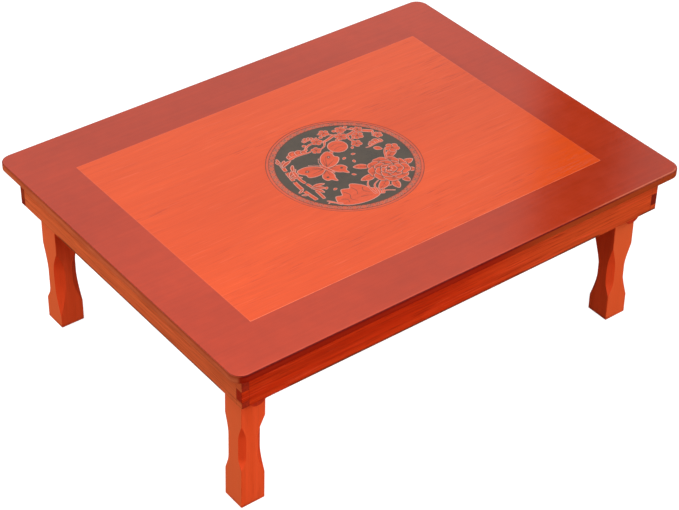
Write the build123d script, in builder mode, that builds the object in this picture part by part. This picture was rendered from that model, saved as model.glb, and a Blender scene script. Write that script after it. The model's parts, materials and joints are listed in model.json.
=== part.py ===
from build123d import *
import os
from math import sqrt, cos, sin, radians

os.makedirs("parts", exist_ok=True)

# ---------------------------------------------------------------- driving dimensions (mm)
# Frame: origin on the floor under the middle of the table, +X along the long side,
# +Y to the back, +Z up.
table_length = 800.0
table_width = 614.0
table_height = 284.0

top_thick = 12.0
top_y = -1.25               # the top sits this far forward on the apron
top_corner_r = 20.0          # plan radius of the four corners of the top
top_arris_r = 1.5            # rounded upper arris
under_arris_r = 1.5          # rounded lower arris

field_length = 633.0         # orange panel let into the top
field_width = 440.5
field_x = -1.0                # middle of the panel from the middle of the table
field_y = -1.8
veneer_thick = 0.6
medallion_r = 117.0
medallion_thick = 0.3
medallion_x = 4.0
medallion_y = -7.0
medallion_room = 0.05        # room round the medallion in its recess

rail_inset_x = 22.5          # edge of the top to the outer face of a short rail
rail_inset_y = 21.15         # edge of the top to the outer face of a long rail, before top_y
rail_thick = 12.0
rail_bottom = 206.6
rail_edge_r = 1.0
finger_cuts = (217.5, 236.0, 254.0)   # heights where the corner fingers change over

leg_x = 39.5                 # leg section along X
leg_y = 39.5                 # leg section along Y
leg_gap_x = 17.25            # outer face of the short rail to the leg, at the pivot
leg_gap_y = 24.15            # outer face of the long rail to the leg
leg_top_gap = 0.4            # leg head to the underside of the top, standing
leg_edge_r = 1.2
leg_foot_chamfer = 0.8

# Each open leg leans outwards a little about its pivot (degrees). The stopped chamfers of
# the waist are cut by hand: per corner (side in X, side in Y, depth, tip, full, full, tip).
leg_lean = {"front_left": 1.2, "front_right": 1.1, "back_left": 0.6, "back_right": 1.0}
leg_waists = {
    "front_left": ((-1, 1, 6.0, 47.0, 79.0, 115.0, 153.0), (1, -1, 8.9, 46.0, 90.0, 119.0, 154.0),
                   (-1, -1, 5.5, 68.0, 88.0, 120.0, 150.0), (1, 1, 7.0, 42.0, 74.0, 108.0, 147.0)),
    "front_right": ((-1, 1, 9.3, 26.0, 65.0, 88.0, 140.5), (1, -1, 7.9, 33.0, 73.0, 95.5, 136.5),
                    (-1, -1, 6.2, 46.0, 75.0, 95.0, 143.0), (1, 1, 7.5, 38.0, 70.0, 100.0, 142.0)),
    "back_left": ((-1, 1, 7.9, 36.0, 62.0, 92.0, 146.0), (1, -1, 10.6, 34.0, 88.0, 104.0, 150.0),
                  (-1, -1, 8.5, 20.0, 80.0, 104.0, 142.0), (1, 1, 7.5, 38.0, 72.0, 104.0, 146.0)),
    "back_right": ((-1, 1, 7.2, 39.0, 74.0, 104.0, 146.0), (1, -1, 7.8, 36.0, 72.0, 100.0, 144.0),
                   (-1, -1, 7.0, 42.0, 76.0, 108.0, 147.0), (1, 1, 7.6, 40.0, 72.0, 106.0, 148.0)),
}

pivot_inset = 13.0           # pivot axis to the leg's inner face
pivot_drop = 17.0            # pivot axis under the top
bolt_r = 4.0
leg_bore_r = 4.06
bolt_hole_r = 4.05
bolt_length = 70.0
bolt_head_af = 13.0
bolt_head_h = 5.3

cheek_half = 20.8            # half width of a cheek where it carries the pivot
cheek_centre = 34.5          # outer face of the short rail to the middle of a cheek
cheek_shoulder_z = 215.0     # the cheek narrows to a tongue below this height
tongue_r = 15.0              # half width and bottom radius of the tongue
tongue_round_z = 202.5       # centre height of the round end of the tongue
outer_cheek_thick = 10.25
inner_cheek_thick = 12.0
washer_thick = 1.6
washer_r = 8.0
washer_hole_r = 4.2
washer_play = 0.3

block_x = 20.5
block_y = 30.0
block_z = 30.0

cleat_long_y = 10.0
cleat_short_x = 14.0
cleat_z = 14.0
batten_w = 44.0
batten_z = 20.0
side_batten_x = 205.0
side_batten_half = 188.0

screw_r = 2.0
screw_head_r = 4.0
screw_head_h = 2.4
screw_fit = 0.05             # room round a screw in the wood

# ---------------------------------------------------------------- derived positions
half_l = table_length / 2
half_w = table_width / 2
z_under = table_height - top_thick
rail_out_x = half_l - rail_inset_x
rail_out_y = half_w - rail_inset_y
rail_in_x = rail_out_x - rail_thick
rail_in_y = rail_out_y - rail_thick
rail_height = z_under - rail_bottom

leg_out_x = rail_out_x - leg_gap_x
leg_in_x = leg_out_x - leg_x
leg_out_y = rail_out_y - leg_gap_y
leg_in_y = leg_out_y - leg_y
leg_top = z_under - leg_top_gap
pivot_x = leg_in_x + pivot_inset
pivot_z = z_under - pivot_drop
head_r = leg_top - pivot_z

cheek_x = rail_out_x - cheek_centre
shoulder_drop = cheek_half - tongue_r       # the shoulders slope at 45 degrees
outer_cheek_in_y = rail_in_y - outer_cheek_thick
inner_cheek_out_y = leg_in_y - washer_play - washer_thick
inner_cheek_in_y = inner_cheek_out_y - inner_cheek_thick
bolt_head_y = rail_in_y - 0.95
bolt_seat_y = bolt_head_y - bolt_head_h
bolt_end_y = bolt_seat_y - bolt_length

side_y = (inner_cheek_in_y - block_y)       # inner end of the corner blocks


# ================================================================ screws
# A countersunk wood screw: head flat at the origin of the plane, shank along +Z of the plane.
# head_fit > 0 gives the matching hole instead of the screw.
def screw_profile(length, fit):
    hr = screw_head_r + fit
    sr = screw_r + fit
    return [(0, -fit), (hr, -fit), (hr, 0.3), (sr, screw_head_h), (sr, length - 3.5),
            (0, length + fit)]


def screw_solid(plane, length, fit):
    with BuildPart() as one:
        with BuildSketch(Plane(origin=plane.origin, x_dir=plane.x_dir, z_dir=-plane.y_dir)):
            with BuildLine():
                Polyline(*screw_profile(length, fit), close=True)
            make_face()
        revolve(axis=Axis(plane.origin, plane.z_dir))
    return one.part


def screw_set(planes, length, fit):
    with BuildPart() as many:
        for pl in planes:
            add(screw_solid(pl, length, fit))
    return many.part


signs = [(-1, -1), (1, -1), (-1, 1), (1, 1)]

# outer cheeks: two screws from the leg side into each long rail
outer_cheek_planes = []
# inner cheeks: two screws from the leg side into each corner block
inner_cheek_planes = []
block_planes = []
for sx, sy in signs:
    for dx in (-12.0, 12.0):
        outer_cheek_planes.append(Plane(origin=(sx * (cheek_x + dx), sy * outer_cheek_in_y, 222.0),
                                        x_dir=(1, 0, 0), z_dir=(0, sy, 0)))
    for z in (249.5, 263.5):
        inner_cheek_planes.append(Plane(origin=(sx * (cheek_x + 13.0), sy * inner_cheek_out_y, z),
                                        x_dir=(1, 0, 0), z_dir=(0, -sy, 0)))
    block_planes.append(Plane(origin=(sx * (rail_in_x - 9.0), sy * (side_y + 7.0), z_under - block_z),
                              x_dir=(1, 0, 0), z_dir=(0, 0, 1)))

batten_planes = []
for y in (-200.0, -70.0, 70.0, 200.0):
    batten_planes.append(Plane(origin=(0, y, z_under - batten_z), x_dir=(1, 0, 0), z_dir=(0, 0, 1)))
for sx in (-1, 1):
    for y in (-150.0, 0.0, 150.0):
        batten_planes.append(Plane(origin=(sx * side_batten_x, y, z_under - batten_z),
                                   x_dir=(1, 0, 0), z_dir=(0, 0, 1)))

cleat_planes = []
for sy in (-1, 1):
    for x in (-285.0, -110.0, 110.0, 285.0):
        cleat_planes.append(Plane(origin=(x, sy * (rail_in_y - cleat_long_y / 2), z_under - cleat_z),
                                  x_dir=(1, 0, 0), z_dir=(0, 0, 1)))
for sx in (-1, 1):
    for y in (-140.0, 0.0, 140.0):
        cleat_planes.append(Plane(origin=(sx * (rail_in_x - cleat_short_x / 2), y, z_under - cleat_z),
                                  x_dir=(1, 0, 0), z_dir=(0, 0, 1)))

cheek_screw_len = 19.0
inner_screw_len = 26.0
block_screw_len = 38.0
batten_screw_len = 28.0
cleat_screw_len = 22.0

outer_cheek_cut = screw_set(outer_cheek_planes, cheek_screw_len, screw_fit)
inner_cheek_cut = screw_set(inner_cheek_planes, inner_screw_len, screw_fit)
block_cut = screw_set(block_planes, block_screw_len, screw_fit)
batten_cut = screw_set(batten_planes, batten_screw_len, screw_fit)
cleat_cut = screw_set(cleat_planes, cleat_screw_len, screw_fit)

with BuildPart() as cheek_screws:
    for pl in outer_cheek_planes:
        add(screw_solid(pl, cheek_screw_len, 0.0))
    for pl in inner_cheek_planes:
        add(screw_solid(pl, inner_screw_len, 0.0))
cheek_screws.part.label = "cheek_screws"
export_step(cheek_screws.part, "parts/cheek_screws.step")

with BuildPart() as block_screws:
    for pl in block_planes:
        add(screw_solid(pl, block_screw_len, 0.0))
block_screws.part.label = "block_screws"
export_step(block_screws.part, "parts/block_screws.step")

with BuildPart() as batten_screws:
    for pl in batten_planes:
        add(screw_solid(pl, batten_screw_len, 0.0))
batten_screws.part.label = "batten_screws"
export_step(batten_screws.part, "parts/batten_screws.step")

with BuildPart() as cleat_screws:
    for pl in cleat_planes:
        add(screw_solid(pl, cleat_screw_len, 0.0))
cleat_screws.part.label = "cleat_screws"
export_step(cleat_screws.part, "parts/cleat_screws.step")

# ================================================================ top
with BuildPart() as tabletop_board:
    with BuildSketch(Plane.XY.offset(z_under)):
        with Locations((0, top_y)):
            RectangleRounded(table_length, table_width, top_corner_r)
    extrude(amount=top_thick)
    fillet(tabletop_board.faces().sort_by(Axis.Z)[-1].outer_wire().edges(), radius=top_arris_r)
    fillet(tabletop_board.faces().sort_by(Axis.Z)[0].outer_wire().edges(), radius=under_arris_r)
    with BuildSketch(Plane.XY.offset(table_height)):
        with Locations((field_x, field_y)):
            Rectangle(field_length, field_width)
    extrude(amount=-veneer_thick, mode=Mode.SUBTRACT)
    add(block_cut, mode=Mode.SUBTRACT)
    add(batten_cut, mode=Mode.SUBTRACT)
    add(cleat_cut, mode=Mode.SUBTRACT)
tabletop_board.part.label = "tabletop_board"
export_step(tabletop_board.part, "parts/tabletop_board.step")

with BuildPart() as center_field_veneer:
    with BuildSketch(Plane.XY.offset(table_height - veneer_thick)):
        with Locations((field_x, field_y)):
            Rectangle(field_length, field_width)
    extrude(amount=veneer_thick)
    with BuildSketch(Plane.XY.offset(table_height)):
        with Locations((medallion_x, medallion_y)):
            Circle(medallion_r + medallion_room)
    extrude(amount=-medallion_thick, mode=Mode.SUBTRACT)
center_field_veneer.part.label = "center_field_veneer"
export_step(center_field_veneer.part, "parts/center_field_veneer.step")

with BuildPart() as medallion_disc:
    with BuildSketch(Plane.XY.offset(table_height - medallion_thick)):
        with Locations((medallion_x, medallion_y)):
            Circle(medallion_r)
    extrude(amount=medallion_thick)
medallion_disc.part.label = "medallion_disc"
export_step(medallion_disc.part, "parts/medallion_disc.step")

# ================================================================ apron rails
# The four rails meet in finger joints that run round the frame like a pinwheel. The
# envelope carries the small rounding that the outside of the glued frame is sanded to.
with BuildPart() as apron_envelope:
    with BuildSketch(Plane.XY.offset(rail_bottom)):
        RectangleRounded(2 * rail_out_x, 2 * rail_out_y, 1.5)
    extrude(amount=rail_height)
    fillet(apron_envelope.faces().sort_by(Axis.Z)[0].outer_wire().edges(), radius=rail_edge_r)

levels = (rail_bottom,) + finger_cuts + (z_under,)


def segment_mid(i):
    return (levels[i] + levels[i + 1]) / 2


def segment_height(i):
    return levels[i + 1] - levels[i]


with BuildPart() as front_rail:
    with BuildSketch(Plane.XY.offset(rail_bottom)):
        with Locations((0, -(rail_out_y - rail_thick / 2))):
            Rectangle(2 * rail_out_x, rail_thick)
    extrude(amount=rail_height)
    fillet(front_rail.edges().filter_by(Axis.X).group_by(Axis.Z)[0].sort_by(Axis.Y)[-1],
           radius=rail_edge_r)
    for end, gone in ((-1, (0, 2)), (1, (1, 3))):
        for i in gone:
            with Locations((end * (rail_out_x - rail_thick / 2), -(rail_out_y - rail_thick / 2),
                            segment_mid(i))):
                Box(rail_thick, rail_thick, segment_height(i), mode=Mode.SUBTRACT)
    add(apron_envelope.part, mode=Mode.INTERSECT)
    add(outer_cheek_cut, mode=Mode.SUBTRACT)
front_rail.part.label = "front_rail"
export_step(front_rail.part, "parts/front_rail.step")

with BuildPart() as back_rail:
    add(front_rail.part, rotation=(0, 0, 180))
back_rail.part.label = "back_rail"
export_step(back_rail.part, "parts/back_rail.step")

with BuildPart() as left_rail:
    with BuildSketch(Plane.XY.offset(rail_bottom)):
        with Locations((-(rail_out_x - rail_thick / 2), 0)):
            Rectangle(rail_thick, 2 * rail_out_y)
    extrude(amount=rail_height)
    fillet(left_rail.edges().filter_by(Axis.Y).group_by(Axis.Z)[0].sort_by(Axis.X)[-1],
           radius=rail_edge_r)
    for end, gone in ((-1, (1, 3)), (1, (0, 2))):
        for i in gone:
            with Locations((-(rail_out_x - rail_thick / 2), end * (rail_out_y - rail_thick / 2),
                            segment_mid(i))):
                Box(rail_thick, rail_thick, segment_height(i), mode=Mode.SUBTRACT)
    add(apron_envelope.part, mode=Mode.INTERSECT)
left_rail.part.label = "left_rail"
export_step(left_rail.part, "parts/left_rail.step")

with BuildPart() as right_rail:
    add(left_rail.part, rotation=(0, 0, 180))
right_rail.part.label = "right_rail"
export_step(right_rail.part, "parts/right_rail.step")

# ================================================================ legs
# Square post. The head is flat on the outside half, where it bears on the top, and
# rounded about the pivot on the inside half, so that it can turn under the top. The post
# is shaped upright, leaned about its pivot, then trimmed level at the head and the sole.
arc_end_z = pivot_z + sqrt(head_r ** 2 - pivot_inset ** 2)
arc_mid_x = pivot_x - head_r * cos(radians(70))
arc_mid_z = pivot_z + head_r * sin(radians(70))
foot_spare = 4.0


def tongue_low(u):
    return 1.5 * u - 0.5 * u ** 3


def tongue_high(t):
    return 1 - 0.6 * t ** 2 - 0.4 * (3 * t ** 2 - 2 * t ** 3)


def leg_post(sx, sy, lean, waists):
    plane_y = -sy * leg_out_y if sy < 0 else -leg_in_y
    with BuildPart() as post:
        with BuildSketch(Plane.XZ.offset(plane_y)):
            with BuildLine():
                Polyline((sx * pivot_x, leg_top), (sx * (leg_out_x - 2.5), leg_top),
                         (sx * leg_out_x, leg_top - 2.5), (sx * leg_out_x, -foot_spare),
                         (sx * leg_in_x, -foot_spare), (sx * leg_in_x, arc_end_z))
                ThreePointArc((sx * leg_in_x, arc_end_z), (sx * arc_mid_x, arc_mid_z),
                              (sx * pivot_x, leg_top))
            make_face()
        extrude(amount=-leg_y)
        fillet(post.edges().filter_by(Axis.Z), radius=leg_edge_r)
        for qx, qy, depth, z1, z2, z3, z4 in waists:
            ex = leg_out_x if qx == sx else leg_in_x
            ey = leg_out_y if qy == sy else leg_in_y
            low_pts = [(depth * tongue_low(k / 6), z1 + (z2 - z1) * k / 6) for k in range(7)]
            high_pts = [(depth * tongue_high(k / 6), z3 + (z4 - z3) * k / 6) for k in range(7)]
            low_tan = [(1.5 * depth / (z2 - z1), 1.0), (0.0, 1.0)]
            high_tan = [(0.0, 1.0), (-1.2 * depth / (z4 - z3), 1.0)]
            with BuildSketch(Plane(origin=(sx * ex, sy * ey, 0), x_dir=(-qx, -qy, 0), z_dir=(-qy, qx, 0))):
                with BuildLine():
                    Spline(*low_pts, tangents=low_tan)
                    Line((depth, z2), (depth, z3))
                    Spline(*high_pts, tangents=high_tan)
                    Polyline((0, z4), (-4, z4), (-4, z1), (0, z1))
                make_face()
            extrude(amount=18, both=True, mode=Mode.SUBTRACT)
        with BuildSketch(Plane.XZ.offset(plane_y + 1)):
            with Locations((sx * pivot_x, pivot_z)):
                Circle(leg_bore_r)
        extrude(amount=-(leg_y + 2), mode=Mode.SUBTRACT)
    leaned = post.part.rotate(Axis((sx * pivot_x, 0, pivot_z), (0, 1, 0)), -sx * lean)
    with BuildPart() as trimmed:
        add(leaned)
        with BuildSketch(Plane.XY.offset(leg_top)):
            with Locations((sx * pivot_x, sy * leg_out_y)):
                Rectangle(160, 160)
        extrude(amount=20, mode=Mode.SUBTRACT)
        with BuildSketch(Plane.XY):
            with Locations((sx * pivot_x, sy * leg_out_y)):
                Rectangle(160, 160)
        extrude(amount=-20, mode=Mode.SUBTRACT)
        chamfer(trimmed.faces().sort_by(Axis.Z)[0].outer_wire().edges(), length=leg_foot_chamfer)
    return trimmed.part


with BuildPart() as leg_front_left:
    add(leg_post(-1, -1, leg_lean["front_left"], leg_waists["front_left"]))
leg_front_left.part.label = "leg_front_left"
export_step(leg_front_left.part, "parts/leg_front_left.step")

with BuildPart() as leg_front_right:
    add(leg_post(1, -1, leg_lean["front_right"], leg_waists["front_right"]))
leg_front_right.part.label = "leg_front_right"
export_step(leg_front_right.part, "parts/leg_front_right.step")

with BuildPart() as leg_back_left:
    add(leg_post(-1, 1, leg_lean["back_left"], leg_waists["back_left"]))
leg_back_left.part.label = "leg_back_left"
export_step(leg_back_left.part, "parts/leg_back_left.step")

with BuildPart() as leg_back_right:
    add(leg_post(1, 1, leg_lean["back_right"], leg_waists["back_right"]))
leg_back_right.part.label = "leg_back_right"
export_step(leg_back_right.part, "parts/leg_back_right.step")

# ================================================================ hinge cheeks
with BuildPart() as outer_cheek_front_left:
    with BuildSketch(Plane.XZ.offset(outer_cheek_in_y)):
        with BuildLine():
            Polyline((-cheek_x - tongue_r, tongue_round_z),
                     (-cheek_x - tongue_r, cheek_shoulder_z - shoulder_drop),
                     (-cheek_x - cheek_half, cheek_shoulder_z), (-cheek_x - cheek_half, z_under),
                     (-cheek_x + cheek_half, z_under), (-cheek_x + cheek_half, cheek_shoulder_z),
                     (-cheek_x + tongue_r, cheek_shoulder_z - shoulder_drop),
                     (-cheek_x + tongue_r, tongue_round_z))
            ThreePointArc((-cheek_x + tongue_r, tongue_round_z), (-cheek_x, tongue_round_z - tongue_r),
                          (-cheek_x - tongue_r, tongue_round_z))
        make_face()
    extrude(amount=outer_cheek_thick)
    # bolt hole, with a pocket for the bolt head on the side glued to the rail
    with BuildSketch(Plane.XZ.offset(outer_cheek_in_y)):
        with Locations((-pivot_x, pivot_z)):
            Circle(bolt_hole_r)
    extrude(amount=outer_cheek_thick, mode=Mode.SUBTRACT)
    with BuildSketch(Plane.XZ.offset(bolt_seat_y)):
        with Locations((-pivot_x, pivot_z)):
            Circle(8.0)
    extrude(amount=outer_cheek_thick, mode=Mode.SUBTRACT)
    add(outer_cheek_cut, mode=Mode.SUBTRACT)
outer_cheek_front_left.part.label = "outer_cheek_front_left"
export_step(outer_cheek_front_left.part, "parts/outer_cheek_front_left.step")

with BuildPart() as outer_cheek_front_right:
    mirror(outer_cheek_front_left.part, about=Plane.YZ)
outer_cheek_front_right.part.label = "outer_cheek_front_right"
export_step(outer_cheek_front_right.part, "parts/outer_cheek_front_right.step")

with BuildPart() as outer_cheek_back_left:
    mirror(outer_cheek_front_left.part, about=Plane.XZ)
outer_cheek_back_left.part.label = "outer_cheek_back_left"
export_step(outer_cheek_back_left.part, "parts/outer_cheek_back_left.step")

with BuildPart() as outer_cheek_back_right:
    mirror(outer_cheek_back_left.part, about=Plane.YZ)
outer_cheek_back_right.part.label = "outer_cheek_back_right"
export_step(outer_cheek_back_right.part, "parts/outer_cheek_back_right.step")

with BuildPart() as inner_cheek_front_left:
    with BuildSketch(Plane.XZ.offset(inner_cheek_in_y)):
        with BuildLine():
            Polyline((-cheek_x - tongue_r, tongue_round_z),
                     (-cheek_x - tongue_r, cheek_shoulder_z - shoulder_drop),
                     (-cheek_x - cheek_half, cheek_shoulder_z), (-cheek_x - cheek_half, z_under),
                     (-cheek_x + cheek_half, z_under), (-cheek_x + cheek_half, cheek_shoulder_z),
                     (-cheek_x + tongue_r, cheek_shoulder_z - shoulder_drop),
                     (-cheek_x + tongue_r, tongue_round_z))
            ThreePointArc((-cheek_x + tongue_r, tongue_round_z), (-cheek_x, tongue_round_z - tongue_r),
                          (-cheek_x - tongue_r, tongue_round_z))
        make_face()
    extrude(amount=inner_cheek_thick)
    with BuildSketch(Plane.XZ.offset(inner_cheek_in_y)):
        with Locations((-pivot_x, pivot_z)):
            Circle(bolt_hole_r)
    extrude(amount=inner_cheek_thick, mode=Mode.SUBTRACT)
    add(inner_cheek_cut, mode=Mode.SUBTRACT)
inner_cheek_front_left.part.label = "inner_cheek_front_left"
export_step(inner_cheek_front_left.part, "parts/inner_cheek_front_left.step")

with BuildPart() as inner_cheek_front_right:
    mirror(inner_cheek_front_left.part, about=Plane.YZ)
inner_cheek_front_right.part.label = "inner_cheek_front_right"
export_step(inner_cheek_front_right.part, "parts/inner_cheek_front_right.step")

with BuildPart() as inner_cheek_back_left:
    mirror(inner_cheek_front_left.part, about=Plane.XZ)
inner_cheek_back_left.part.label = "inner_cheek_back_left"
export_step(inner_cheek_back_left.part, "parts/inner_cheek_back_left.step")

with BuildPart() as inner_cheek_back_right:
    mirror(inner_cheek_back_left.part, about=Plane.YZ)
inner_cheek_back_right.part.label = "inner_cheek_back_right"
export_step(inner_cheek_back_right.part, "parts/inner_cheek_back_right.step")

# ================================================================ corner blocks
with BuildPart() as corner_block_front_left:
    with BuildSketch(Plane.XY.offset(z_under - block_z)):
        with BuildLine():
            Polyline((-rail_in_x, -inner_cheek_in_y), (-rail_in_x + block_x, -inner_cheek_in_y),
                     (-rail_in_x + block_x, -side_y - 12), (-rail_in_x + block_x - 8, -side_y),
                     (-rail_in_x, -side_y), close=True)
        make_face()
    extrude(amount=block_z)
    add(inner_cheek_cut, mode=Mode.SUBTRACT)
    add(block_cut, mode=Mode.SUBTRACT)
corner_block_front_left.part.label = "corner_block_front_left"
export_step(corner_block_front_left.part, "parts/corner_block_front_left.step")

with BuildPart() as corner_block_front_right:
    mirror(corner_block_front_left.part, about=Plane.YZ)
corner_block_front_right.part.label = "corner_block_front_right"
export_step(corner_block_front_right.part, "parts/corner_block_front_right.step")

with BuildPart() as corner_block_back_left:
    mirror(corner_block_front_left.part, about=Plane.XZ)
corner_block_back_left.part.label = "corner_block_back_left"
export_step(corner_block_back_left.part, "parts/corner_block_back_left.step")

with BuildPart() as corner_block_back_right:
    mirror(corner_block_back_left.part, about=Plane.YZ)
corner_block_back_right.part.label = "corner_block_back_right"
export_step(corner_block_back_right.part, "parts/corner_block_back_right.step")

# ================================================================ battens and cleats
with BuildPart() as center_batten:
    with BuildSketch(Plane.XY.offset(z_under - batten_z)):
        Rectangle(batten_w, 2 * (rail_in_y - cleat_long_y))
    extrude(amount=batten_z)
    chamfer(center_batten.edges().filter_by(Axis.Y).group_by(Axis.Z)[0], length=3)
    add(batten_cut, mode=Mode.SUBTRACT)
center_batten.part.label = "center_batten"
export_step(center_batten.part, "parts/center_batten.step")

with BuildPart() as left_batten:
    with BuildSketch(Plane.XY.offset(z_under - batten_z)):
        with Locations((-side_batten_x, 0)):
            Rectangle(batten_w, 2 * side_batten_half)
    extrude(amount=batten_z)
    chamfer(left_batten.edges().filter_by(Axis.Y).group_by(Axis.Z)[0], length=3)
    chamfer(left_batten.edges().filter_by(Axis.X).group_by(Axis.Z)[0], length=10)
    add(batten_cut, mode=Mode.SUBTRACT)
left_batten.part.label = "left_batten"
export_step(left_batten.part, "parts/left_batten.step")

with BuildPart() as right_batten:
    add(left_batten.part, rotation=(0, 0, 180))
right_batten.part.label = "right_batten"
export_step(right_batten.part, "parts/right_batten.step")

cleat_long_half = cheek_x - cheek_half - 3.0
with BuildPart() as front_cleat:
    with BuildSketch(Plane.XY.offset(z_under - cleat_z)):
        with Locations((0, -(rail_in_y - cleat_long_y / 2))):
            Rectangle(2 * cleat_long_half, cleat_long_y)
    extrude(amount=cleat_z)
    chamfer(front_cleat.edges().filter_by(Axis.X).group_by(Axis.Z)[0].sort_by(Axis.Y)[-1], length=1.5)
    add(cleat_cut, mode=Mode.SUBTRACT)
front_cleat.part.label = "front_cleat"
export_step(front_cleat.part, "parts/front_cleat.step")

with BuildPart() as back_cleat:
    add(front_cleat.part, rotation=(0, 0, 180))
back_cleat.part.label = "back_cleat"
export_step(back_cleat.part, "parts/back_cleat.step")

with BuildPart() as left_cleat:
    with BuildSketch(Plane.XY.offset(z_under - cleat_z)):
        with Locations((-(rail_in_x - cleat_short_x / 2), 0)):
            Rectangle(cleat_short_x, 2 * side_y - 2.0)
    extrude(amount=cleat_z)
    chamfer(left_cleat.edges().filter_by(Axis.Y).group_by(Axis.Z)[0].sort_by(Axis.X)[-1], length=1.5)
    add(cleat_cut, mode=Mode.SUBTRACT)
left_cleat.part.label = "left_cleat"
export_step(left_cleat.part, "parts/left_cleat.step")

with BuildPart() as right_cleat:
    add(left_cleat.part, rotation=(0, 0, 180))
right_cleat.part.label = "right_cleat"
export_step(right_cleat.part, "parts/right_cleat.step")

# ================================================================ pivot hardware
# Each leg hangs on one hexagon bolt: head in the outer cheek's pocket, lock nut on the
# inner cheek, a thrust washer on each side of the leg.
with BuildPart() as pivot_bolts:
    for sx, sy in signs:
        axis_plane = Plane(origin=(sx * pivot_x, sy * bolt_head_y, pivot_z), x_dir=(1, 0, 0),
                           z_dir=(0, -sy, 0))
        with BuildSketch(axis_plane):
            RegularPolygon(bolt_head_af / 2, 6, major_radius=False)
        extrude(amount=bolt_head_h)
        with BuildSketch(axis_plane.offset(bolt_head_h)):
            Circle(bolt_r)
        extrude(amount=bolt_length)
    chamfer(pivot_bolts.faces().filter_by(Axis.Y).filter_by(
        lambda f: abs(abs(f.center().Y) - bolt_end_y) < 0.1).edges(), length=0.8)
pivot_bolts.part.label = "pivot_bolts"
export_step(pivot_bolts.part, "parts/pivot_bolts.step")

with BuildPart() as thrust_washers:
    for sx, sy in signs:
        for y in (outer_cheek_in_y, inner_cheek_out_y + washer_thick):
            with BuildSketch(Plane(origin=(sx * pivot_x, sy * y, pivot_z), x_dir=(1, 0, 0),
                                   z_dir=(0, -sy, 0))):
                Circle(washer_r)
                Circle(washer_hole_r, mode=Mode.SUBTRACT)
            extrude(amount=washer_thick)
thrust_washers.part.label = "thrust_washers"
export_step(thrust_washers.part, "parts/thrust_washers.step")

with BuildPart() as nut_washers:
    for sx, sy in signs:
        with BuildSketch(Plane(origin=(sx * pivot_x, sy * inner_cheek_in_y, pivot_z),
                               x_dir=(1, 0, 0), z_dir=(0, -sy, 0))):
            Circle(washer_r)
            Circle(washer_hole_r, mode=Mode.SUBTRACT)
        extrude(amount=washer_thick)
nut_washers.part.label = "nut_washers"
export_step(nut_washers.part, "parts/nut_washers.step")

with BuildPart() as lock_nuts:
    for sx, sy in signs:
        nut_plane = Plane(origin=(sx * pivot_x, sy * (inner_cheek_in_y - washer_thick), pivot_z),
                          x_dir=(1, 0, 0), z_dir=(0, -sy, 0))
        with BuildSketch(nut_plane):
            RegularPolygon(bolt_head_af / 2, 6, major_radius=False)
            Circle(bolt_hole_r, mode=Mode.SUBTRACT)
        extrude(amount=5.5)
        with BuildSketch(nut_plane.offset(5.5)):
            Circle(6.0)
            Circle(bolt_hole_r, mode=Mode.SUBTRACT)
        extrude(amount=2.5)
lock_nuts.part.label = "lock_nuts"
export_step(lock_nuts.part, "parts/lock_nuts.step")
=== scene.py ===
import json
import math
import random

import bpy
import numpy as np
from mathutils import Matrix, Vector
from mathutils.geometry import tessellate_polygon


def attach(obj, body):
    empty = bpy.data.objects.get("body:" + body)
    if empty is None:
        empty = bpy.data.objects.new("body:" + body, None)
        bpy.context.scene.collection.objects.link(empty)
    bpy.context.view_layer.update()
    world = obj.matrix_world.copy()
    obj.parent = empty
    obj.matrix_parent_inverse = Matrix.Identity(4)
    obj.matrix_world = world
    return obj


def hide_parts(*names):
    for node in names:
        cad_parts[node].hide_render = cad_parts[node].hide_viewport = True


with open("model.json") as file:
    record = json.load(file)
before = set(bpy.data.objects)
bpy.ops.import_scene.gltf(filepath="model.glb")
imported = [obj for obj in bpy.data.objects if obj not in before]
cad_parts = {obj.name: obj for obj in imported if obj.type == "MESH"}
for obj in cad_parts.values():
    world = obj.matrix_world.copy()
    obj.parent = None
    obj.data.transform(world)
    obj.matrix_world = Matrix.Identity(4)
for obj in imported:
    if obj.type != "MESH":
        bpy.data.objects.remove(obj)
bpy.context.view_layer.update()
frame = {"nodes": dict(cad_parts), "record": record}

nodes = frame["nodes"]
SLOT_OF = {}
for entry in frame["record"].get("materials", []):
    for n in entry.get("nodes", []):
        SLOT_OF[n] = entry.get("slot")

# ---------------------------------------------------------------- sizes in metres, as in the CAD
HALF_X, HALF_Y, TOP_DY, TOP_Z, UNDER_Z = 0.4, 0.307, -0.00125, 0.284, 0.272
CORNER_R = 0.020
FIELD_X, FIELD_Y, FIELD_DX, FIELD_DY = 0.3165, 0.22025, -0.0010, -0.0018
RAIL_X, RAIL_Y, RAIL_T, RAIL_LOW = 0.3775, 0.28585, 0.012, 0.2066
FINGERS = (0.2175, 0.236, 0.254)
MED_X, MED_Y, MED_R = 0.004, -0.007, 0.117

# light levels
FLOOR_BOUNCE = (0.31, 0.050, 0.018)
KEY_FRONT, KEY_LEFT, KEY_NEAR, KEY_LOW = 4.6, 6.5, 9.0, 9.6


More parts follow.
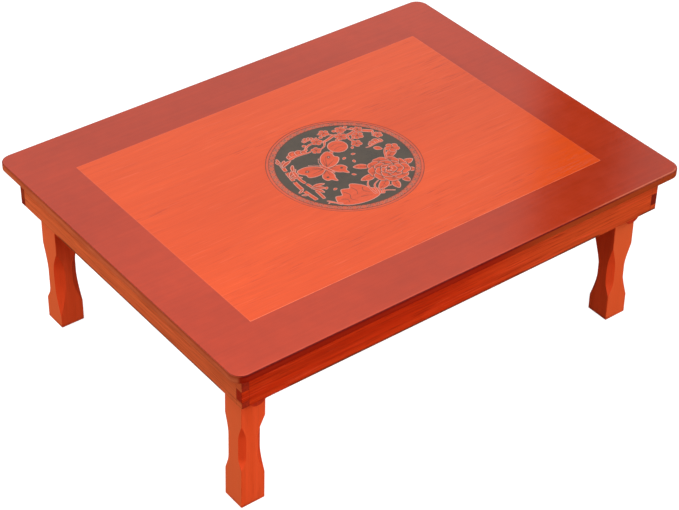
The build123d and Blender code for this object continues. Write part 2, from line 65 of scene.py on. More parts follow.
# ================================================================ node helper
class Tree:
    """A small builder round one material's node tree. Sockets are passed about as values."""

    def __init__(self, name):
        self.mat = bpy.data.materials.new(name)
        self.mat.use_nodes = True
        self.nt = self.mat.node_tree
        self.nt.nodes.clear()
        self.out = self.nt.nodes.new("ShaderNodeOutputMaterial")
        self.bsdf = self.nt.nodes.new("ShaderNodeBsdfPrincipled")
        self.nt.links.new(self.bsdf.outputs[0], self.out.inputs[0])
        self.tc = self.nt.nodes.new("ShaderNodeTexCoord")
        self.p = self.tc.outputs["Object"]
        sep = self.nt.nodes.new("ShaderNodeSeparateXYZ")
        self.nt.links.new(self.p, sep.inputs[0])
        self.x, self.y, self.z = sep.outputs
        nrm = self.nt.nodes.new("ShaderNodeSeparateXYZ")
        self.nt.links.new(self.tc.outputs["Normal"], nrm.inputs[0])
        self.nx, self.ny, self.nz = nrm.outputs

    def plug(self, value, socket):
        if isinstance(value, bpy.types.NodeSocket):
            self.nt.links.new(value, socket)
        else:
            socket.default_value = value

    def math(self, op, a, b=0.0, c=0.0, clamp=False):
        n = self.nt.nodes.new("ShaderNodeMath")
        n.operation = op
        n.use_clamp = clamp
        for v, s in zip((a, b, c), n.inputs):
            self.plug(v, s)
        return n.outputs[0]

    def add(self, a, b):
        return self.math("ADD", a, b)

    def sub(self, a, b):
        return self.math("SUBTRACT", a, b)

    def mul(self, a, b):
        return self.math("MULTIPLY", a, b)

    def inv(self, a):
        return self.math("SUBTRACT", 1.0, a, clamp=True)

    def vec(self, x, y, z):
        n = self.nt.nodes.new("ShaderNodeCombineXYZ")
        for v, s in zip((x, y, z), n.inputs):
            self.plug(v, s)
        return n.outputs[0]

    def scaled(self, sx, sy, sz, p=None, off=(0.0, 0.0, 0.0)):
        n = self.nt.nodes.new("ShaderNodeMapping")
        self.nt.links.new(p or self.p, n.inputs["Vector"])
        n.inputs["Scale"].default_value = (sx, sy, sz)
        n.inputs["Location"].default_value = off
        return n.outputs[0]

    def noise(self, vector, scale=1.0, detail=2.0, rough=0.5, dist=0.0):
        n = self.nt.nodes.new("ShaderNodeTexNoise")
        self.nt.links.new(vector, n.inputs["Vector"])
        n.inputs["Scale"].default_value = scale
        n.inputs["Detail"].default_value = detail
        n.inputs["Roughness"].default_value = rough
        n.inputs["Distortion"].default_value = dist
        return n.outputs["Fac"]

    def ramp(self, value, a, b, lo=0.0, hi=1.0, smooth=True):
        n = self.nt.nodes.new("ShaderNodeMapRange")
        n.interpolation_type = "SMOOTHSTEP" if smooth else "LINEAR"
        n.clamp = True
        self.plug(value, n.inputs["Value"])
        n.inputs["From Min"].default_value = a
        n.inputs["From Max"].default_value = b
        n.inputs["To Min"].default_value = lo
        n.inputs["To Max"].default_value = hi
        return n.outputs["Result"]

    def band(self, value, a, b, soft):
        """1 where value lies between a and b, 0 outside, with soft ends."""
        up = self.ramp(value, a - soft, a + soft)
        down = self.ramp(value, b - soft, b + soft, 1.0, 0.0)
        return self.mul(up, down)

    def mix(self, fac, a, b, blend="MIX"):
        n = self.nt.nodes.new("ShaderNodeMix")
        n.data_type = "RGBA"
        n.blend_type = blend
        n.clamp_factor = True
        self.plug(fac, n.inputs[0])
        for v, s in ((a, n.inputs[6]), (b, n.inputs[7])):
            self.plug(v if isinstance(v, bpy.types.NodeSocket) else (*v[:3], 1.0), s)
        return n.outputs[2]

    def shade(self, colour, factor):
        """colour times a grey factor socket."""
        grey = self.nt.nodes.new("ShaderNodeCombineColor")
        for s in grey.inputs[:3]:
            self.plug(factor, s)
        return self.mix(1.0, colour, grey.outputs[0], "MULTIPLY")

    def bump(self, height, distance, strength=1.0, normal=None):
        n = self.nt.nodes.new("ShaderNodeBump")
        n.inputs["Strength"].default_value = strength
        n.inputs["Distance"].default_value = distance
        self.nt.links.new(height, n.inputs["Height"])
        if normal is not None:
            self.nt.links.new(normal, n.inputs["Normal"])
        return n.outputs[0]

    def finish(self, colour, rough, normal=None, metallic=0.0, spec=0.5, coat=0.0, coat_rough=0.1, ior=1.5,
               tint=None):
        b = self.bsdf
        self.plug(colour if isinstance(colour, bpy.types.NodeSocket) else (*colour[:3], 1.0), b.inputs["Base Color"])
        self.plug(rough, b.inputs["Roughness"])
        b.inputs["Metallic"].default_value = metallic
        b.inputs["IOR"].default_value = ior
        b.inputs["Specular IOR Level"].default_value = spec
        b.inputs["Coat Weight"].default_value = coat
        b.inputs["Coat Roughness"].default_value = coat_rough
        if tint:
            b.inputs["Specular Tint"].default_value = (*tint, 1.0)
        if normal is not None:
            self.nt.links.new(normal, b.inputs["Normal"])
        return self.mat


def wood_coords(t, axis, wobble=0.004, seed=0.0):
    """Coordinates whose first component runs with the grain, with a slow drift so that no line is dead straight."""
    comp = {"X": (t.x, t.y, t.z), "Y": (t.y, t.x, t.z), "Z": (t.z, t.x, t.y)}[axis]
    slow = t.noise(t.vec(t.mul(comp[0], 2.6), t.mul(comp[1], 7.0), t.add(t.mul(comp[2], 7.0), seed)), 1.0, 2.0)
    drift = t.mul(t.sub(slow, 0.5), wobble * 2)
    return t.vec(comp[0], t.add(comp[1], drift), t.add(comp[2], t.mul(drift, 0.7))), comp[0]


def streaks(t, g, along, across, detail=3.0, off=0.0, rough=0.55):
    return t.noise(t.scaled(along, across, across, g, (off, off * 1.7, off * 0.6)), 1.0, detail, rough)


# ================================================================ materials
def outline_distance(t):
    """Signed distance in metres from a point to the plan outline of the top, negative inside."""
    ax = t.sub(t.math("ABSOLUTE", t.x), HALF_X - CORNER_R)
    ay = t.sub(t.math("ABSOLUTE", t.sub(t.y, TOP_DY)), HALF_Y - CORNER_R)
    qx, qy = t.math("MAXIMUM", ax, 0.0), t.math("MAXIMUM", ay, 0.0)
    outer = t.math("SQRT", t.add(t.mul(qx, qx), t.mul(qy, qy)))
    inner = t.math("MINIMUM", t.math("MAXIMUM", ax, ay), 0.0)
    return t.sub(t.add(outer, inner), CORNER_R)


def border_material():
    t = Tree("border_lacquer")
    cloud = t.noise(t.scaled(3.1, 3.9, 5.0), 1.0, 3.0, 0.55)
    fine = t.noise(t.scaled(38.0, 46.0, 40.0), 1.0, 3.0, 0.6)
    g, _ = wood_coords(t, "X", 0.006)
    grain = streaks(t, g, 5.0, 190.0, 3.0)
    top = t.mix(t.ramp(cloud, 0.30, 0.70), (0.302, 0.0215, 0.0028), (0.344, 0.0265, 0.0042))
    top = t.shade(top, t.ramp(fine, 0.25, 0.75, 0.955, 1.045))
    top = t.shade(top, t.ramp(grain, 0.30, 0.70, 0.955, 1.035))
    # painted light: a painted gradient, lighter towards the back right and near left corners and a little deeper
    # towards the other two
    top = t.shade(top, t.add(1.0, t.mul(t.mul(t.x, t.y), 0.90)))
    # and painted light along the right-hand side, a little lighter there
    top = t.shade(top, t.add(1.0, t.mul(t.mul(t.ramp(t.x, 0.315, 0.330), t.ramp(t.y, -0.26, -0.12)), 0.085)))
    # a painted highlight: a bright line just inside the arris, where the rounded rim catches the light, mostly along
    # the front
    d = outline_distance(t)
    rub = t.noise(t.scaled(18.0, 18.0, 30.0), 1.0, 3.0, 0.6)
    line = t.mul(t.band(d, -0.0038, -0.0014, 0.0008), t.mul(t.ramp(rub, 0.30, 0.60, 0.40, 1.0), t.ramp(t.y, -0.300, -0.303, 0.10, 1.0)))
    right_part = t.ramp(t.x, 0.14, 0.26)
    bright = t.mix(right_part, (0.430, 0.0560, 0.0240), (0.450, 0.1000, 0.0480))
    colour = t.mix(t.mul(line, t.add(0.50, t.mul(right_part, 0.28))), top, bright)
    # underside: thin brown-red wash over plain board, grain along the length
    ply = t.mix(t.ramp(streaks(t, g, 3.2, 120.0, 4.0, 3.0), 0.32, 0.68), (0.300, 0.085, 0.030), (0.420, 0.140, 0.055))
    ply = t.shade(ply, t.ramp(cloud, 0.3, 0.7, 0.9, 1.08))
    under_mask = t.ramp(t.nz, -0.80, -0.92)
    colour = t.mix(under_mask, colour, ply)
    rough = t.add(t.ramp(fine, 0.2, 0.8, 0.088, 0.118), t.mul(under_mask, 0.40))
    peel = t.noise(t.scaled(260.0, 260.0, 260.0), 1.0, 2.0, 0.5)
    n1 = t.bump(peel, 0.00006, 0.35)
    n2 = t.bump(grain, 0.00005, 0.5, n1)
    return t.finish(colour, rough, n2, spec=0.5)


def edge_material():
    """The side of the top: long sides with a dark red lipping, short sides browner. No shine."""
    t = Tree("border_edge_lacquer")
    g, _ = wood_coords(t, "X", 0.006)
    grain = streaks(t, g, 5.0, 190.0, 3.0)
    soft = t.noise(t.scaled(9.0, 26.0, 160.0), 1.0, 3.0)
    rub = t.noise(t.scaled(55.0, 55.0, 90.0), 1.0, 3.0, 0.6)
    red = t.mix(t.ramp(grain, 0.3, 0.72), (0.198, 0.0086, 0.0014), (0.238, 0.0116, 0.0026))
    foot = t.ramp(t.z, 0.2735, 0.2762, 1.0, 0.0)
    red = t.mix(t.mul(foot, t.ramp(rub, 0.25, 0.6, 0.65, 1.0)), red, (0.215, 0.0060, 0.0010))
    head = t.ramp(t.z, 0.2792, 0.2818)
    red = t.mix(t.mul(head, t.ramp(rub, 0.25, 0.6, 0.75, 1.0)), red, (0.170, 0.0030, 0.0005))
    brown = t.mix(t.ramp(grain, 0.3, 0.72), (0.232, 0.0350, 0.0070), (0.280, 0.0450, 0.0105))
    brown = t.mix(t.mul(head, 0.35), brown, (0.200, 0.0270, 0.0050))
    long_edge = t.mix(t.ramp(t.x, 0.02, 0.16), red, brown)
    short_edge = t.mix(t.ramp(soft, 0.3, 0.7), (0.345, 0.0790, 0.0280), (0.428, 0.1080, 0.0400))
    short_edge = t.mix(t.mul(head, 0.45), short_edge, (0.250, 0.0300, 0.0120))
    colour = t.mix(t.ramp(t.math("ABSOLUTE", t.nx), 0.55, 0.80), long_edge, short_edge)
    # the arris is dark, with a painted highlight, a little lighter, near the right-hand corner
    corner_highlight = t.mul(t.ramp(rub, 0.28, 0.62, 0.35, 1.0), t.mul(t.ramp(t.x, 0.20, 0.34), t.ramp(t.y, -0.20, -0.28)))
    arris = t.mix(corner_highlight, t.mix(t.ramp(t.math("ABSOLUTE", t.nx), 0.35, 0.65), (0.105, 0.0016, 0.0004), (0.240, 0.0380, 0.0080)), (0.190, 0.0260, 0.0090))
    colour = t.mix(t.ramp(t.z, 0.2819, 0.2827), colour, arris)
    rough = t.ramp(grain, 0.2, 0.8, 0.42, 0.52)
    return t.finish(colour, rough, t.bump(grain, 0.00005, 0.5), spec=0.10)


def field_material(name="field_lacquer"):
    t = Tree(name)
    g, _ = wood_coords(t, "X", 0.010)
    broad = t.noise(t.scaled(2.2, 6.0, 1.0, g), 1.0, 3.0, 0.55)
    long_s = streaks(t, g, 3.6, 150.0, 4.0)
    fine_s = streaks(t, g, 9.0, 520.0, 3.0, 4.0)
    base = t.mix(t.ramp(broad, 0.30, 0.72), (0.500, 0.0462, 0.0008), (0.556, 0.0562, 0.0022))
    base = t.mix(t.ramp(long_s, 0.30, 0.74, 0.0, 0.30), base, (0.440, 0.0352, 0.0006))
    base = t.shade(base, t.ramp(fine_s, 0.30, 0.72, 1.03, 0.945))
    # open pores: short dark dashes that run with the grain and come in groups
    group = t.ramp(t.noise(t.scaled(3.4, 15.0, 1.0, g, (5.0, 1.0, 0.0)), 1.0, 2.0, 0.5), 0.42, 0.66)
    dash = t.ramp(t.noise(t.scaled(26.0, 620.0, 1.0, g, (0.0, 7.0, 0.0)), 1.0, 2.0, 0.45), 0.585, 0.665)
    pores = t.mul(dash, t.ramp(group, 0.0, 1.0, 0.18, 1.0))
    base = t.mix(t.mul(pores, 0.55), base, (0.270, 0.0160, 0.0018))
    pale = t.ramp(t.noise(t.scaled(17.0, 480.0, 1.0, g, (2.0, 3.0, 0.0)), 1.0, 2.0, 0.45), 0.63, 0.72)
    base = t.mix(t.mul(pale, 0.22), base, (0.640, 0.1150, 0.0450))
    # the cut edge of the veneer takes the lacquer a little lighter
    ex = t.sub(FIELD_X, t.math("ABSOLUTE", t.sub(t.x, FIELD_DX)))
    ey = t.sub(FIELD_Y, t.math("ABSOLUTE", t.sub(t.y, FIELD_DY)))
    rim = t.ramp(t.math("MINIMUM", ex, ey), 0.0004, 0.0016, 1.0, 0.0)
    base = t.mix(t.mul(rim, 0.30), base, (0.640, 0.1000, 0.0380))
    broken = t.ramp(t.noise(t.scaled(60.0, 60.0, 60.0), 1.0, 3.0, 0.6), 0.34, 0.58, 0.25, 1.0)
    front = t.mul(t.ramp(t.y, FIELD_DY - FIELD_Y + 0.0040, FIELD_DY - FIELD_Y + 0.0025), broken)
    base = t.mix(t.mul(t.mul(rim, front), 0.45), base, (0.720, 0.1700, 0.0820))
    # painted light: a painted gradient, lighter towards the back right and near left corners, slightly lighter overall
    base = t.shade(base, t.add(1.025, t.mul(t.mul(t.x, t.y), 0.90)))
    rough = t.add(t.ramp(long_s, 0.2, 0.8, 0.092, 0.122), t.mul(pores, 0.10))
    n1 = t.bump(t.inv(pores), 0.00009, 0.6)
    n2 = t.bump(fine_s, 0.00004, 0.5, n1)
    return t.finish(base, rough, n2, spec=0.5)


def inlay_material(name, dark, light, grain):
    """Veneer of the picture under the same lacquer as the field. grain is how far the streaks show."""
    t = Tree(name)
    g, _ = wood_coords(t, "X", 0.006, 2.0)
    cloud = t.noise(t.scaled(26.0, 30.0, 30.0), 1.0, 3.0, 0.55)
    long_s = streaks(t, g, 5.0, 210.0, 3.0, 1.0)
    fine = t.noise(t.scaled(420.0, 480.0, 400.0), 1.0, 2.0, 0.5)
    c = t.mix(t.ramp(t.add(t.mul(cloud, 1.0 - 0.6 * grain), t.mul(long_s, 0.6 * grain)), 0.32, 0.68), dark, light)
    c = t.shade(c, t.ramp(fine, 0.25, 0.75, 0.93, 1.07))
    rough = t.ramp(cloud, 0.2, 0.8, 0.125, 0.165)
    return t.finish(c, rough, t.bump(long_s, 0.00004, 0.4), spec=0.5)


def rail_material(name, axis, dark, mid, light, end, seed=0.0, painted_light_colour=None):
    t = Tree(name)
    g, along = wood_coords(t, axis, 0.003, seed)
    s1 = streaks(t, g, 3.0, 105.0, 4.0, seed)
    s2 = streaks(t, g, 7.0, 420.0, 3.0, seed + 2)
    big = t.noise(t.scaled(2.0, 30.0, 30.0, g, (seed, 0, 0)), 1.0, 2.0)
    c = t.mix(t.ramp(s1, 0.30, 0.70), dark, mid)
    c = t.mix(t.ramp(t.mul(t.add(s1, big), 0.5), 0.50, 0.68, 0.0, 0.75), c, light)
    # painted light: the rail is painted lighter and more orange towards its right-hand end, where more light falls
    if painted_light_colour:
        c = t.mix(t.ramp(t.x, -0.05, 0.25, 0.0, 0.58), c, painted_light_colour)
    c = t.shade(c, t.ramp(s2, 0.30, 0.72, 1.11, 0.86))
    dash = t.ramp(t.noise(t.scaled(20.0, 560.0, 560.0, g, (seed, 1.0, 2.0)), 1.0, 2.0, 0.45), 0.58, 0.66)
    c = t.mix(t.mul(dash, 0.45), c, tuple(v * 0.42 for v in dark))
    fleck = t.ramp(t.noise(t.scaled(14.0, 380.0, 380.0, g, (seed, 4.0, 6.0)), 1.0, 2.0, 0.45), 0.60, 0.69)
    c = t.mix(t.mul(fleck, 0.30), c, tuple(min(1.0, v * 1.25 + 0.02) for v in light))
    # the top of the rail sits in the shade line of the overhang, painted as shade; the colour is darker along the lower
    # arris
    shade_line = t.ramp(t.z, 0.2560, 0.2690, 0.0, 0.12) if axis == "X" else t.ramp(t.z, 0.2250, 0.2680, 0.0, 0.22)
    c = t.mix(shade_line, c, tuple(v * 0.55 for v in dark))
    rub = t.noise(t.scaled(48.0, 48.0, 60.0), 1.0, 3.0, 0.6)
    low = t.ramp(t.z, RAIL_LOW + 0.0027, RAIL_LOW + 0.0040, 1.0, 0.0)
    # the dark line is weaker where the legs stand
    if axis == "X":
        dark_line_span = t.math("MAXIMUM", t.band(t.x, -0.302, 0.262, 0.004), t.ramp(t.x, 0.338, 0.346))
    else:
        dark_line_span = t.band(t.y, -0.238, 0.180, 0.006)
    low = t.mul(low, t.add(0.12, t.mul(dark_line_span, 0.88)))
    c = t.mix(t.mul(low, t.ramp(rub, 0.25, 0.60, 0.65, 1.00)), c, (0.125, 0.0200, 0.0060) if axis == "X" else (0.190, 0.0440, 0.0150))
    # end grain on the finger ends, which face along the rail
    normal = {"X": t.nx, "Y": t.ny}[axis]
    ends = t.ramp(t.math("ABSOLUTE", normal), 0.72, 0.86)
    rings = t.noise(t.scaled(300.0, 300.0, 520.0), 1.0, 3.0, 0.6)
    grain_end = t.mix(t.ramp(rings, 0.3, 0.7), tuple(v * 0.62 for v in end), end)
    c = t.mix(ends, c, grain_end)
    c = t.shade(c, t.sub(1.0, t.mul(t.mul(ends, t.ramp(t.x, 0.30, 0.35)), 0.42)))
    # glue lines of the finger joint, at the corners only
    ax = t.math("ABSOLUTE", t.x)
    ay = t.math("ABSOLUTE", t.y)
    corner = t.mul(t.ramp(ax, RAIL_X - RAIL_T - 0.0003, RAIL_X - RAIL_T + 0.0001), t.ramp(ay, RAIL_Y - RAIL_T - 0.0003, RAIL_Y - RAIL_T + 0.0001))
    line = None
    for h in FINGERS:
        one = t.ramp(t.math("ABSOLUTE", t.sub(t.z, h)), 0.00030, 0.00060, 1.0, 0.0)
        line = one if line is None else t.math("MAXIMUM", line, one)
    edge_x = t.ramp(t.math("ABSOLUTE", t.sub(ax, RAIL_X - RAIL_T)), 0.00025, 0.00055, 1.0, 0.0)
    edge_y = t.ramp(t.math("ABSOLUTE", t.sub(ay, RAIL_Y - RAIL_T)), 0.00025, 0.00055, 1.0, 0.0)
    seam = t.mul(line, corner)
    in_x = t.ramp(ay, RAIL_Y - 0.0006, RAIL_Y - 0.0001)
    in_y = t.ramp(ax, RAIL_X - 0.0006, RAIL_X - 0.0001)
    seam = t.math("MAXIMUM", seam, t.math("MAXIMUM", t.mul(edge_x, in_x), t.mul(edge_y, in_y)))
    c = t.mix(t.mul(seam, 0.42), c, (0.110, 0.009, 0.003))
    far = t.mul(t.ramp(t.y, RAIL_Y - 0.0130, RAIL_Y - 0.0112), t.ramp(t.nx, -0.70, -0.90))
    c = t.mix(t.mul(far, 0.80), c, (0.150, 0.0110, 0.0030))
    # the finger ends are a little rougher
    rough = t.add(t.ramp(s1, 0.2, 0.8, 0.40, 0.50), t.mul(ends, 0.15))
    n1 = t.bump(s2, 0.00010, 0.55)
    n2 = t.bump(t.inv(seam), 0.00012, 0.5, n1)
    return t.finish(c, rough, n2, spec=0.14)


def leg_material():
    t = Tree("leg_lacquer")
    g, _ = wood_coords(t, "Z", 0.003)
    s1 = streaks(t, g, 3.4, 95.0, 4.0, 1.0)
    s2 = streaks(t, g, 8.0, 380.0, 3.0, 2.0)
    c = t.mix(t.ramp(s1, 0.28, 0.72), (0.605, 0.0680, 0.0140), (0.670, 0.0820, 0.0190))
    # the hand-cut facets of the waist soak up more stain
    facet = t.ramp(t.math("MINIMUM", t.math("ABSOLUTE", t.nx), t.math("ABSOLUTE", t.ny)), 0.42, 0.60)
    c = t.mix(t.mul(facet, 0.85), c, (0.655, 0.0570, 0.0105))
    c = t.shade(c, t.ramp(s2, 0.30, 0.72, 1.02, 0.97))
    dash = t.ramp(t.noise(t.scaled(24.0, 520.0, 520.0, g, (3.0, 1.0, 2.0)), 1.0, 2.0, 0.45), 0.60, 0.68)
    c = t.mix(t.mul(dash, 0.16), c, (0.330, 0.022, 0.005))
    # painted reflection: the left-facing faces of the left legs get a painted haze, paler and browner
    painted_haze = t.mul(t.ramp(t.nx, -0.70, -0.90), t.ramp(t.x, -0.28, -0.30))
    c = t.mix(t.mul(painted_haze, 0.9), c, (0.600, 0.1220, 0.0370))
    # painted light: the front face of the front right leg is painted hazier and yellower, more so towards the top
    right_front = t.mul(t.mul(t.ramp(t.ny, -0.70, -0.90), t.ramp(t.x, 0.28, 0.30)), t.ramp(t.z, 0.06, 0.20, 0.55, 1.0))
    c = t.mix(t.mul(right_front, 0.9), c, (0.540, 0.0960, 0.0260))
    # painted light: the front face of the back left leg, in the shade of the table, is painted lighter
    back_front = t.mul(t.mul(t.ramp(t.ny, -0.70, -0.90), t.ramp(t.x, -0.28, -0.30)), t.ramp(t.y, 0.18, 0.20))
    c = t.shade(c, t.add(1.0, t.mul(back_front, 0.17)))
    # handling and floor wear towards the foot
    rub = t.noise(t.scaled(60.0, 60.0, 40.0), 1.0, 4.0, 0.6)
    foot = t.mul(t.ramp(t.z, 0.0006, 0.0080, 1.0, 0.0), t.ramp(rub, 0.40, 0.62))
    c = t.mix(t.mul(foot, 0.55), c, (0.230, 0.022, 0.007))
    end = t.ramp(t.math("ABSOLUTE", t.nz), 0.85, 0.95)
    rings = t.noise(t.scaled(240.0, 240.0, 60.0), 1.0, 3.0, 0.6, 0.6)
    c = t.mix(end, c, t.mix(t.ramp(rings, 0.3, 0.7), (0.200, 0.026, 0.008), (0.330, 0.055, 0.018)))
    rough = t.ramp(s1, 0.2, 0.8, 0.36, 0.46)
    n1 = t.bump(s2, 0.00008, 0.5)
    return t.finish(c, rough, n1, spec=0.35)


def plain_wood(name, axis, dark, light, pore, rough0=0.5, seed=0.0, spec=0.3, end_dark=0.6):
    t = Tree(name)
    g, _ = wood_coords(t, axis, 0.004, seed)
    s1 = streaks(t, g, 3.5, 90.0, 4.0, seed)
    s2 = streaks(t, g, 9.0, 400.0, 3.0, seed + 3)
    c = t.mix(t.ramp(s1, 0.30, 0.70), dark, light)
    c = t.shade(c, t.ramp(s2, 0.30, 0.72, 1.05, 0.92))
    dash = t.ramp(t.noise(t.scaled(22.0, 500.0, 500.0, g, (seed, 1.0, 2.0)), 1.0, 2.0, 0.45), 0.60, 0.68)
    c = t.mix(t.mul(dash, 0.35), c, pore)
    normal = {"X": t.nx, "Y": t.ny, "Z": t.nz}[axis]
    ends = t.ramp(t.math("ABSOLUTE", normal), 0.80, 0.92)
    rings = t.noise(t.scaled(260.0, 260.0, 260.0), 1.0, 3.0, 0.6)
    c = t.mix(ends, c, t.mix(t.ramp(rings, 0.3, 0.7), tuple(v * end_dark for v in dark), tuple(v * end_dark for v in light)))
    rough = t.ramp(s1, 0.2, 0.8, rough0, rough0 + 0.12)
    n1 = t.bump(s2, 0.00012, 0.5)
    return t.finish(c, rough, n1, spec=spec)


def steel(name, tint, rough=0.34, scale=900.0):
    t = Tree(name)
    cloud = t.noise(t.scaled(120.0, 120.0, 120.0), 1.0, 3.0, 0.6)
    lines = t.noise(t.scaled(scale, scale, scale), 1.0, 2.0, 0.5)
    c = t.mix(t.ramp(cloud, 0.3, 0.7), tuple(v * 0.78 for v in tint), tint)
    r = t.ramp(lines, 0.2, 0.8, rough - 0.06, rough + 0.10)
    return t.finish(c, r, t.bump(lines, 0.00003, 0.4), metallic=1.0)


RED_DARK, RED_MID, RED_LIGHT = (0.372, 0.0180, 0.0016), (0.455, 0.0280, 0.0026), (0.560, 0.0480, 0.0060)
BROWN_DARK, BROWN_MID, BROWN_LIGHT = (0.485, 0.1020, 0.0310), (0.530, 0.1180, 0.0350), (0.570, 0.1320, 0.0380)
MATS = {
    "border": border_material(),
    "edge": edge_material(),
    "field": field_material(),
    "rail_long": rail_material("rail_lacquer_long", "X", RED_DARK, RED_MID, RED_LIGHT, (0.330, 0.0200, 0.0050), 0.0, (0.450, 0.0800, 0.0190)),
    "rail_short": rail_material("rail_lacquer_short", "Y", BROWN_DARK, BROWN_MID, BROWN_LIGHT, (0.320, 0.0210, 0.0060), 5.0),
    "leg": leg_material(),
    "cheek": plain_wood("cheek_lacquer", "Z", (0.330, 0.018, 0.0040), (0.470, 0.036, 0.0090), (0.150, 0.008, 0.002), 0.40, 2.0),
    "frame_x": plain_wood("frame_wood_x", "X", (0.400, 0.150, 0.060), (0.560, 0.250, 0.115), (0.250, 0.080, 0.030), 0.55, 4.0),
    "frame_y": plain_wood("frame_wood_y", "Y", (0.400, 0.150, 0.060), (0.560, 0.250, 0.115), (0.250, 0.080, 0.030), 0.55, 7.0),
    "screw": steel("screw_steel", (0.62, 0.54, 0.36), 0.30),
    "bolt": steel("bolt_steel", (0.60, 0.60, 0.61), 0.32),
}


def dress(obj, mat):
    me = obj.data
    if not me.materials:
        me.materials.append(mat)
    for i in range(len(me.materials)):
        me.materials[i] = mat
    for slot in obj.material_slots:
        slot.material = mat


for name, obj in nodes.items():
    if name == "tabletop_board":
        key = "border"
    elif name == "center_field_veneer":
        key = "field"
    elif name in ("front_rail", "back_rail"):
        key = "rail_long"
    elif name in ("left_rail", "right_rail"):
        key = "rail_short"
    elif name.startswith("leg_"):
        key = "leg"
    elif "cheek_screws" == name or name.endswith("_screws"):
        key = "screw"
    elif "cheek" in name:
        key = "cheek"
    elif name in ("pivot_bolts", "thrust_washers", "nut_washers", "lock_nuts"):
        key = "bolt"
    elif name in ("front_cleat", "back_cleat"):
        key = "frame_x"
    elif name == "medallion_disc":
        key = "field"            # hidden by the inlaid picture that stands for it
    else:
        key = "frame_y"
    dress(obj, MATS[key])

# the side and the arris of the board take the edge lacquer
board = nodes["tabletop_board"].data
board.materials.append(MATS["edge"])
for poly in board.polygons:
    if -0.80 < poly.normal.z < 0.985:
        poly.material_index = len(board.materials) - 1

# ================================================================ medallion
# A made-up garden picture: butterfly, peony, plum branch, bamboo, rock and clouds, all cut from
# thin orange veneer on a dark ground, inside a beaded band. Shapes are in millimetres round
# the medallion's centre, up is +Y. Each shape is a thin closed plate on its own level.
LEVEL0, CEILING = 283.800, 283.985
SHAPES = []


def lay(kind, outline, level, rise=1.0, limit=102.6):
    """level is not used, the true height comes from stack_shapes.
    A shape that runs past limit is drawn in to it along its own radius."""
    drawn = []
    for px, py in outline:
        k = min(1.0, limit / max(math.hypot(px, py), 0.001))
        drawn.append((px * k, py * k))
    SHAPES.append((kind, drawn))


def stack_shapes(cell=0.5, reach=112.0):
    """Lays the shapes one after the other, each one step above the highest thing under it, so that no two faces
    share a plane where they overlap."""
    n = int(2 * reach / cell)
    height = np.zeros((n, n), dtype=int)
    placed = []
    for kind, outline in SHAPES:
        pts = np.array(outline)
        i0, j0 = np.maximum(((pts.min(0) + reach) / cell).astype(int) - 1, 0)
        i1, j1 = np.minimum(((pts.max(0) + reach) / cell).astype(int) + 2, n)
        gx = (np.arange(i0, i1) + 0.5) * cell - reach
        gy = (np.arange(j0, j1) + 0.5) * cell - reach
        xx, yy = np.meshgrid(gx, gy, indexing="ij")
        inside = np.zeros(xx.shape, dtype=bool)
        near = np.zeros(xx.shape, dtype=bool)
        for k in range(len(pts)):
            (ax, ay), (bx, by) = pts[k - 1], pts[k]
            if ay != by:
                cross = ((ay > yy) != (by > yy)) & (xx < (bx - ax) * (yy - ay) / (by - ay) + ax)
                inside ^= cross
            dx, dy = bx - ax, by - ay
            m = dx * dx + dy * dy
            t = np.clip(((xx - ax) * dx + (yy - ay) * dy) / m, 0.0, 1.0) if m > 0 else 0.0
            near |= (xx - ax - t * dx) ** 2 + (yy - ay - t * dy) ** 2 < (0.8 * cell) ** 2
        cover = inside | near
        top = int(height[i0:i1, j0:j1][cover].max()) + 1 if cover.any() else 1
        block = height[i0:i1, j0:j1]
        block[cover] = top
        placed.append((kind, outline, top))
    step = min(0.012, (CEILING - LEVEL0) / max(t for _, _, t in placed))
    layers = {}
    for kind, outline, top in placed:
        z = LEVEL0 + step * top
        layers.setdefault(kind, []).append((outline, z - 0.8 * step, z))
    return layers


def circle(cx, cy, r, n=22):
    return [(cx + r * math.cos(2 * math.pi * k / n), cy + r * math.sin(2 * math.pi * k / n)) for k in range(n)]


def oval(cx, cy, a, b, turn, n=26):
    c, s = math.cos(math.radians(turn)), math.sin(math.radians(turn))
    return [(cx + a * math.cos(q) * c - b * math.sin(q) * s, cy + a * math.cos(q) * s + b * math.sin(q) * c)
            for q in (2 * math.pi * k / n for k in range(n))]


def scallop(cx, cy, r, lobes, depth, turn=0.0, n=72, squash=1.0, tilt=0.0):
    pts = []
    c, s = math.cos(math.radians(tilt)), math.sin(math.radians(tilt))
    for k in range(n):
        q = 2 * math.pi * k / n
        rr = r * (1 - depth + depth * abs(math.cos(lobes * (q - math.radians(turn)) / 2)) ** 0.6)
        u, v = rr * math.cos(q), rr * math.sin(q) * squash
        pts.append((cx + u * c - v * s, cy + u * s + v * c))
    return pts


def along(x, y, turn, length, width, bend=0.0, shape=1.0, n=12, tip=0.0):
    """A leaf or petal that starts at x, y and runs along turn. shape above 1 moves the belly to the far end."""
    c, s = math.cos(math.radians(turn)), math.sin(math.radians(turn))
    left, right = [], []
    for k in range(n + 1):
        t = k / n
        half = width / 2 * math.sin(math.pi * t ** shape) ** 0.8 if 0 < t < 1 else 0.02
        side = bend * length * math.sin(math.pi * t) * 0.5
        u = length * t - (tip * width * math.sin(math.pi * t ** 4) if tip else 0.0)
        for store, sign in ((left, 1), (right, -1)):
            v = side + sign * half
            store.append((x + u * c - v * s, y + u * s + v * c))
    return left + right[::-1]


def petal(x, y, turn, length, width, n=14):
    """A round-ended petal, narrow at x, y."""
    c, s = math.cos(math.radians(turn)), math.sin(math.radians(turn))
    pts = []
    for k in range(n * 2):
        q = math.pi * (k / (n * 2 - 1)) * 2 - math.pi
        u = length * 0.5 * (1 + math.cos(q)) if abs(q) < 3.1 else 0.0
        v = width * 0.5 * math.sin(q) * (0.55 + 0.45 * (1 + math.cos(q)) / 2) * 1.15
        pts.append((x + u * c - v * s, y + u * s + v * c))
    return pts


